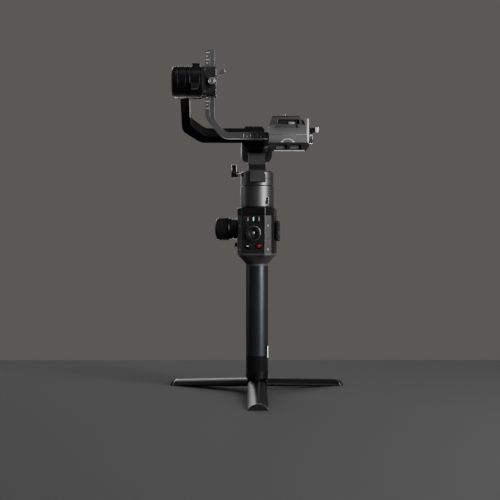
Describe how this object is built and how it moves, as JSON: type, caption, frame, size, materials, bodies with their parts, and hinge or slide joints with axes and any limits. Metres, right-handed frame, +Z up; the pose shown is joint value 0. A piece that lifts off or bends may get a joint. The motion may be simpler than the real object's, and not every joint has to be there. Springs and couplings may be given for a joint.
{
  "type": "gimbal stabilizer",
  "caption": "Hand-held three-axis gimbal with a battery grip, control handle, pan, roll and tilt motors, a graduated camera rail with a slide plate, and a folding tripod.",
  "frame": {"origin": "flat underside of the tripod hub, on the pole axis", "axes": "+Z up along the pole, -Y towards the user who faces the controls, +X to that user's right"},
  "size_m": [0.2644, 0.249, 0.4944],
  "materials": {
    "black_metal": "satin black anodised",
    "gloss_black": "gloss black",
    "black_plastic": "fine texture",
    "grey_tube": "satin blue-grey",
    "grey_rail": "bead-blasted grey",
    "rubber": "matte",
    "steel": "machined",
    "silver": "bright satin",
    "red_button": "satin red",
    "light": "lit diffuser",
    "copper": "enamelled winding",
    "board": "solder mask",
    "cell_wrap": "shrink wrap"
  },
  "bodies": {
    "grip": {"tripod_hub": "black_metal", "leg_pin_1": "steel", "leg_pin_2": "steel", "leg_pin_3": "steel", "mount_screw": "steel", "grip_end_band": "gloss_black", "grip_tube": "grey_tube", "battery_light": "light", "battery_cell_lower": "cell_wrap", "battery_cell_upper": "cell_wrap", "grip_collar": "black_metal", "housing_front": "black_metal", "housing_rear": "black_plastic", "housing_cap": "gloss_black", "control_board": "board", "mode_light_guide": "light", "joystick_bezel": "gloss_black", "focus_wheel_base": "black_metal", "accessory_port_plate": "black_plastic", "pan_stator": "gloss_black", "pan_coil": "copper"},
    "leg_1": {"tripod_leg_1": "black_metal", "foot_pad_1": "rubber"},
    "leg_2": {"tripod_leg_2": "black_metal", "foot_pad_2": "rubber"},
    "leg_3": {"tripod_leg_3": "black_metal", "foot_pad_3": "rubber"},
    "joystick_cradle": {"joystick_cradle": "black_plastic"},
    "joystick_cap": {"joystick_cap": "rubber"},
    "mode_button": {"mode_button": "gloss_black"},
    "record_button": {"record_button": "red_button"},
    "trigger": {"trigger": "black_plastic"},
    "focus_wheel": {"focus_wheel": "black_metal"},
    "focus_latch": {"focus_latch": "black_plastic"},
    "pan_lock": {"pan_lock": "black_plastic"},
    "pan_rotor": {"pan_rotor": "black_metal", "pan_magnet_ring": "steel"},
    "pan_arm_lever": {"pan_arm_lever": "black_metal"},
    "pan_arm": {"pan_arm": "black_metal", "roll_stator": "black_metal", "roll_coil": "copper"},
    "roll_rotor": {"roll_rotor": "black_metal", "roll_magnet_ring": "steel"},
    "roll_arm_knob": {"roll_arm_knob": "steel"},
    "roll_arm": {"roll_arm": "black_metal", "tilt_end_cap": "black_metal", "tilt_stator": "black_metal", "tilt_coil": "copper"},
    "tilt_lock": {"tilt_lock": "black_plastic"},
    "tilt_rotor": {"tilt_rotor": "black_metal", "tilt_magnet_ring": "steel"},
    "tilt_clamp_lever": {"tilt_clamp_lever": "silver"},
    "camera_rail": {"camera_rail": "grey_rail"},
    "camera_base": {"base_block": "black_metal", "base_tray": "black_plastic"},
    "base_lever": {"base_lever": "silver"},
    "camera_plate": {"camera_plate": "black_metal", "plate_pad": "rubber"},
    "camera_screw": {"camera_screw": "steel"}
  },
  "joints": [
    {"name": "leg_1_fold", "type": "hinge", "parent": "grip", "child": "leg_1", "pos_m": [0, -0.0115, 0.0135], "axis": [1, 0, 0], "range_deg": [0, 84.8]},
    {"name": "leg_2_fold", "type": "hinge", "parent": "grip", "child": "leg_2", "pos_m": [0.00996, 0.00575, 0.0135], "axis": [-0.5, 0.866, 0], "range_deg": [0, 84.8]},
    {"name": "leg_3_fold", "type": "hinge", "parent": "grip", "child": "leg_3", "pos_m": [-0.00996, 0.00575, 0.0135], "axis": [-0.5, -0.866, 0], "range_deg": [0, 84.8]},
    {"name": "joystick_tilt", "type": "hinge", "parent": "grip", "child": "joystick_cradle", "pos_m": [-0.00391, -0.02012, 0.2278], "axis": [0.9816, -0.1908, 0], "range_deg": [-8, 8], "stiffness_Nm_per_rad": 0.02},
    {"name": "joystick_turn", "type": "hinge", "parent": "joystick_cradle", "child": "joystick_cap", "pos_m": [-0.00391, -0.02012, 0.2278], "axis": [0, 0, 1], "range_deg": [-8, 8], "stiffness_Nm_per_rad": 0.02},
    {"name": "mode_press", "type": "slide", "parent": "grip", "child": "mode_button", "axis": [0.1908, 0.9816, 0], "range_m": [0, 0.0008], "stiffness_N_per_m": 300},
    {"name": "record_press", "type": "slide", "parent": "grip", "child": "record_button", "axis": [0.1908, 0.9816, 0], "range_m": [0, 0.0008], "stiffness_N_per_m": 300},
    {"name": "trigger_pull", "type": "hinge", "parent": "grip", "child": "trigger", "pos_m": [0.00401, 0.02061, 0.243], "axis": [-0.9816, 0.1908, 0], "range_deg": [0, 6], "stiffness_Nm_per_rad": 0.2},
    {"name": "focus_spin", "type": "hinge", "parent": "grip", "child": "focus_wheel", "pos_m": [0, 0, 0.2346], "axis": [0.9816, -0.1908, 0], "continuous": true},
    {"name": "focus_latch_slide", "type": "slide", "parent": "grip", "child": "focus_latch", "axis": [0.1908, 0.9816, 0], "range_m": [0, 0.003], "stiffness_N_per_m": 100},
    {"name": "pan_lock_slide", "type": "slide", "parent": "grip", "child": "pan_lock", "axis": [0, 0, 1], "range_m": [0, 0.0044]},
    {"name": "pan", "type": "hinge", "parent": "grip", "child": "pan_rotor", "pos_m": [0, 0, 0.3], "axis": [0, 0, 1], "continuous": true},
    {"name": "pan_lever_turn", "type": "hinge", "parent": "pan_rotor", "child": "pan_arm_lever", "pos_m": [-0.03, -0.006, 0.313], "axis": [1, 0, 0], "range_deg": [0, 80]},
    {"name": "pan_arm_slide", "type": "slide", "parent": "pan_rotor", "child": "pan_arm", "axis": [0, 1, 0], "range_m": [-0.012, 0.012]},
    {"name": "roll", "type": "hinge", "parent": "pan_arm", "child": "roll_rotor", "pos_m": [0, 0, 0.4466], "axis": [0, -0.6561, 0.7547], "range_deg": [-45, 45]},
    {"name": "roll_knob_turn", "type": "hinge", "parent": "roll_rotor", "child": "roll_arm_knob", "pos_m": [-0.005, 0.07329, 0.38973], "axis": [0, 0.7547, 0.6561], "range_deg": [0, 90]},
    {"name": "roll_arm_slide", "type": "slide", "parent": "roll_rotor", "child": "roll_arm", "axis": [1, 0, 0], "range_m": [-0.012, 0.01]},
    {"name": "tilt_lock_slide", "type": "slide", "parent": "roll_arm", "child": "tilt_lock", "axis": [-1, 0, 0], "range_m": [0, 0.004]},
    {"name": "tilt", "type": "hinge", "parent": "roll_arm", "child": "tilt_rotor", "pos_m": [-0.09, 0, 0.4466], "axis": [1, 0, 0], "range_deg": [-120, 25]},
    {"name": "tilt_lever_turn", "type": "hinge", "parent": "tilt_rotor", "child": "tilt_clamp_lever", "pos_m": [-0.065, -0.018, 0.4456], "axis": [0, 1, 0], "range_deg": [0, 80]},
    {"name": "rail_slide", "type": "slide", "parent": "tilt_rotor", "child": "camera_rail", "axis": [0, 0, 1], "range_m": [-0.01, 0.02]},
    {"name": "base_slide", "type": "slide", "parent": "camera_rail", "child": "camera_base", "axis": [1, 0, 0], "range_m": [-0.004, 0.02]},
    {"name": "base_lever_turn", "type": "hinge", "parent": "camera_base", "child": "base_lever", "pos_m": [0.078, -0.022, 0.3625], "axis": [1, 0, 0], "range_deg": [0, 90]},
    {"name": "plate_slide", "type": "slide", "parent": "camera_base", "child": "camera_plate", "axis": [0, 1, 0], "range_m": [-0.015, 0.015]},
    {"name": "camera_screw_turn", "type": "hinge", "parent": "camera_plate", "child": "camera_screw", "pos_m": [0.04, -0.013, 0.386], "axis": [0, 0, 1], "continuous": true}
  ]
}
